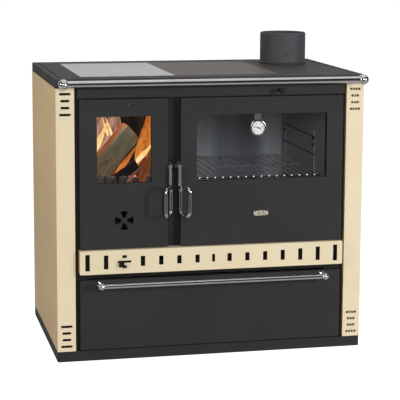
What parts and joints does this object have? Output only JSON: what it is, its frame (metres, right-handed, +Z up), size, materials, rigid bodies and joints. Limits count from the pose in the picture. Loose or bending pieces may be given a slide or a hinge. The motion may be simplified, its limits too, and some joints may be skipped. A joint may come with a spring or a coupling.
{
  "type": "wood cookstove",
  "caption": "Wood-burning cookstove with a glazed fire door, a glazed oven door, a flat cooking top with a flue collar, an air strip and a fuel drawer.",
  "frame": {"origin": "on the floor, under the middle of the body's footprint", "axes": "+X to the right of someone facing the doors, -Y out of the doors towards that person, +Z up"},
  "size_m": [0.95, 0.6645, 0.958],
  "materials": {
    "dark_steel": "matt heat-resistant dark grey paint",
    "black_steel": "matt black heat-resistant paint",
    "ivory_enamel": "satin ivory enamel",
    "cast_top": "satin dark enamelled iron",
    "polished_plate": "ground and polished steel",
    "cooking_plate": "ground cast iron, lightly oiled",
    "flue_steel": "matt dark blue-grey paint",
    "chrome": "polished chrome",
    "fire_glass": "ceramic fire glass",
    "oven_glass": "tempered oven glass",
    "firebrick": "sooty refractory brick",
    "grate_iron": "rough cast iron",
    "oven_steel": "grey vitreous enamel",
    "zinc_steel": "zinc-plated sheet steel",
    "wire_chrome": "bright chromed wire",
    "gasket_rope": "woven glass-fibre rope",
    "dial_white": "white printed dial",
    "needle_black": "black pointer",
    "knob_black": "black bakelite",
    "screw_steel": "blackened screws"
  },
  "bodies": {
    "root": {"base_plinth": "dark_steel", "side_panel_left": "ivory_enamel", "side_panel_right": "ivory_enamel", "vent_liners": "black_steel", "back_panel": "zinc_steel", "fixing_screws": "screw_steel", "left_stile": "black_steel", "right_stile": "black_steel", "centre_post": "black_steel", "head_rail": "black_steel", "mid_rail": "black_steel", "fascia": "dark_steel", "vent_strip": "ivory_enamel", "casing_walls": "zinc_steel", "casing_deck": "zinc_steel", "firebox_divider": "black_steel", "side_firebricks": "firebrick", "rear_firebricks": "firebrick", "grate": "grate_iron", "grate_frame": "grate_iron", "ash_shelf": "black_steel", "ash_pan": "zinc_steel", "oven_box": "oven_steel", "oven_racks": "wire_chrome", "oven_shelf": "wire_chrome", "smoke_floor": "black_steel", "smoke_baffle": "black_steel", "top_frame": "cast_top", "hot_plate": "polished_plate", "middle_plate": "cooking_plate", "flue_plate": "cast_top", "flue_collar": "flue_steel", "rail": "chrome", "rail_posts": "chrome", "hinge_tongues": "black_steel", "roller_catch": "black_steel", "drawer_runners": "zinc_steel"},
    "fire_door": {"fire_door_panel": "dark_steel", "fire_door_glass": "fire_glass", "fire_glass_clips": "zinc_steel", "fire_door_liner": "black_steel", "fire_door_gasket": "gasket_rope"},
    "oven_door": {"oven_door_panel": "dark_steel", "oven_door_glass": "oven_glass", "oven_glass_clips": "zinc_steel", "oven_door_liner": "black_steel", "oven_door_gasket": "gasket_rope", "thermometer_case": "chrome", "thermometer_dial": "dial_white"},
    "thermometer_hand": {"thermometer_needle": "needle_black"},
    "fire_handle": {"fire_door_handle": "chrome"},
    "oven_handle": {"oven_door_handle": "chrome"},
    "air_disc": {"air_disc": "black_steel"},
    "air_lever": {"air_lever": "black_steel"},
    "damper": {"damper_knob": "knob_black", "damper_rod": "zinc_steel"},
    "drawer": {"drawer_front": "dark_steel", "drawer_tub": "zinc_steel", "drawer_bar": "chrome", "drawer_bar_posts": "chrome"}
  },
  "joints": [
    {"name": "fire_door_hinge", "type": "hinge", "parent": "root", "child": "fire_door", "pos_m": [-0.397, -0.297, 0.5685], "axis": [0, 0, 1], "range_deg": [-110, 0]},
    {"name": "oven_door_hinge", "type": "hinge", "parent": "root", "child": "oven_door", "pos_m": [0.399, -0.297, 0.5685], "axis": [0, 0, 1], "range_deg": [0, 110]},
    {"name": "fire_handle_turn", "type": "hinge", "parent": "fire_door", "child": "fire_handle", "pos_m": [-0.134, -0.31, 0.588], "axis": [0, 1, 0], "range_deg": [0, 40]},
    {"name": "oven_handle_turn", "type": "hinge", "parent": "oven_door", "child": "oven_handle", "pos_m": [-0.105, -0.31, 0.588], "axis": [0, 1, 0], "range_deg": [-40, 0]},
    {"name": "thermometer_turn", "type": "hinge", "parent": "oven_door", "child": "thermometer_hand", "pos_m": [0.138, -0.306, 0.6985], "axis": [0, 1, 0], "range_deg": [-63, 207]},
    {"name": "air_disc_turn", "type": "hinge", "parent": "fire_door", "child": "air_disc", "pos_m": [-0.273, -0.302, 0.428], "axis": [0, 1, 0], "range_deg": [0, 44]},
    {"name": "air_lever_slide", "type": "slide", "parent": "root", "child": "air_lever", "axis": [1, 0, 0], "range_m": [0, 0.022]},
    {"name": "damper_slide", "type": "slide", "parent": "root", "child": "damper", "axis": [0, -1, 0], "range_m": [0, 0.09]},
    {"name": "drawer_slide", "type": "slide", "parent": "root", "child": "drawer", "axis": [0, -1, 0], "range_m": [0, 0.4]}
  ]
}
